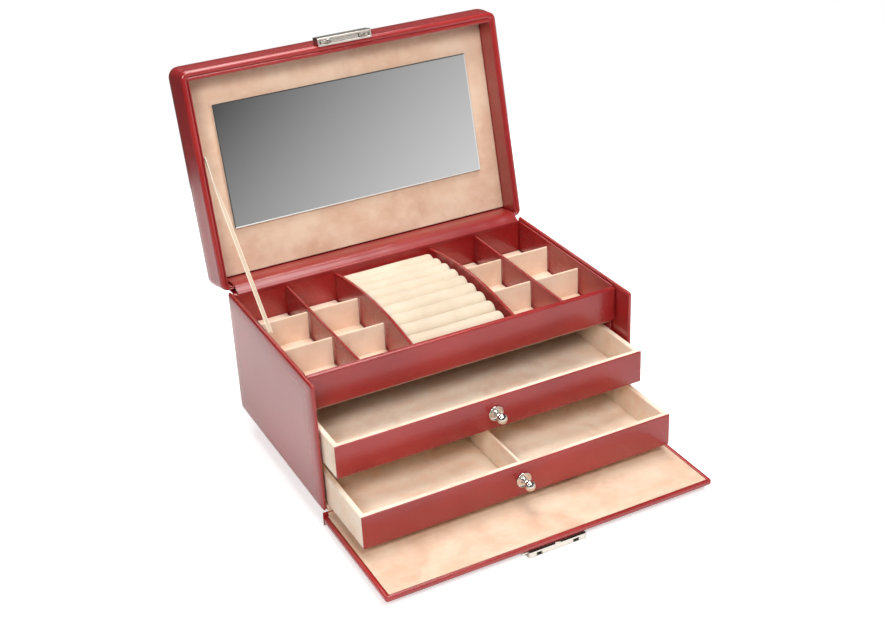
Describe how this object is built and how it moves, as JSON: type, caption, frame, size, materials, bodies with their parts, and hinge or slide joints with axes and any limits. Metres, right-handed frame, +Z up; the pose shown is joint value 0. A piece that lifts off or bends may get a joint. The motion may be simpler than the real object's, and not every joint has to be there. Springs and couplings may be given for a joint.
{
  "type": "jewellery case",
  "caption": "Leather jewellery case with a mirrored padded lid on a ribbon stay, a fold-down front flap with lock, sliding drawers and a divided tray with ring rolls.",
  "frame": {"origin": "on the surface that the case stands on, under the middle of the case body's footprint", "axes": "+Z up, -Y towards the flap and drawers, +X to the right as seen from the front"},
  "size_m": [0.289, 0.3683, 0.313],
  "materials": {
    "outer_leather": "glossy smooth red leather",
    "inner_leather": "semi-gloss smooth red leather",
    "suede_lining": "brushed suede cloth, mottled nap",
    "drawer_suede": "board wrapped in brushed suede cloth",
    "roll_suede": "soft velvet over foam",
    "ribbon": "flat woven ribbon",
    "board": "fibreboard",
    "mirror_glass": "bevelled mirror",
    "chrome_metal": "polished",
    "steel": "plain"
  },
  "bodies": {
    "case": {"base_plinth": "board", "case_floor": "outer_leather", "left_wall": "outer_leather", "right_wall": "outer_leather", "back_wall": "outer_leather", "left_liner": "inner_leather", "right_liner": "inner_leather", "drawer_shelf": "suede_lining", "tray_shelf": "board", "tray_floor": "suede_lining", "tray_front": "inner_leather", "tray_back_liner": "inner_leather", "divider_left": "inner_leather", "divider_right": "inner_leather", "arch_left": "inner_leather", "arch_right": "inner_leather", "ring_bed": "suede_lining", "ring_roll_1": "roll_suede", "ring_roll_2": "roll_suede", "ring_roll_3": "roll_suede", "ring_roll_4": "roll_suede", "ring_roll_5": "roll_suede", "ring_roll_6": "roll_suede", "ring_roll_7": "roll_suede", "ring_roll_8": "roll_suede", "ring_roll_9": "roll_suede", "card_insert_1": "suede_lining", "card_insert_2": "suede_lining", "card_insert_3": "suede_lining", "card_insert_4": "suede_lining", "ribbon_stay": "ribbon", "hinge_web": "inner_leather", "hinge_back_strip": "outer_leather", "flap_hinge_strip": "outer_leather", "case_hinge_leaf": "steel", "hinge_pin": "steel"},
    "lid": {"lid_frame": "outer_leather", "lid_panel": "board", "lid_padding": "outer_leather", "lid_lining": "suede_lining", "lid_mirror": "mirror_glass", "clasp_bar": "chrome_metal", "clasp_prong_left": "chrome_metal", "clasp_prong_right": "chrome_metal", "lid_hinge_leaf": "steel"},
    "flap": {"flap_board": "outer_leather", "flap_lining": "suede_lining", "lock_body": "chrome_metal", "lock_spring": "steel"},
    "lock_slide": {"lock_slide": "chrome_metal"},
    "upper_drawer": {"upper_drawer_box": "drawer_suede", "upper_drawer_facing": "inner_leather", "upper_drawer_knob": "chrome_metal", "upper_drawer_knob_screw": "steel"},
    "lower_drawer": {"lower_drawer_box": "drawer_suede", "lower_drawer_facing": "inner_leather", "lower_drawer_divider": "drawer_suede", "lower_drawer_knob": "chrome_metal", "lower_drawer_knob_screw": "steel"}
  },
  "joints": [
    {"name": "lid_hinge", "type": "hinge", "parent": "case", "child": "lid", "pos_m": [0, 0.0918, 0.1274], "axis": [1, 0, 0], "range_deg": [0, 102.6], "deforming": ["ribbon_stay", "hinge_web", "hinge_back_strip"]},
    {"name": "flap_hinge", "type": "hinge", "parent": "case", "child": "flap", "pos_m": [0, -0.0894, 0.0127], "axis": [-1, 0, 0], "range_deg": [0, 4], "deforming": ["flap_hinge_strip"]},
    {"name": "lock_button_slide", "type": "slide", "parent": "flap", "child": "lock_slide", "axis": [-1, 0, 0], "range_m": [0, 0.003], "stiffness_N_per_m": 200, "springref_m": -0.002, "deforming": ["lock_spring"]},
    {"name": "upper_drawer_slide", "type": "slide", "parent": "case", "child": "upper_drawer", "axis": [0, -1, 0], "range_m": [-0.0404, 0.0796]},
    {"name": "lower_drawer_slide", "type": "slide", "parent": "case", "child": "lower_drawer", "axis": [0, -1, 0], "range_m": [-0.0818, 0.0382]}
  ]
}
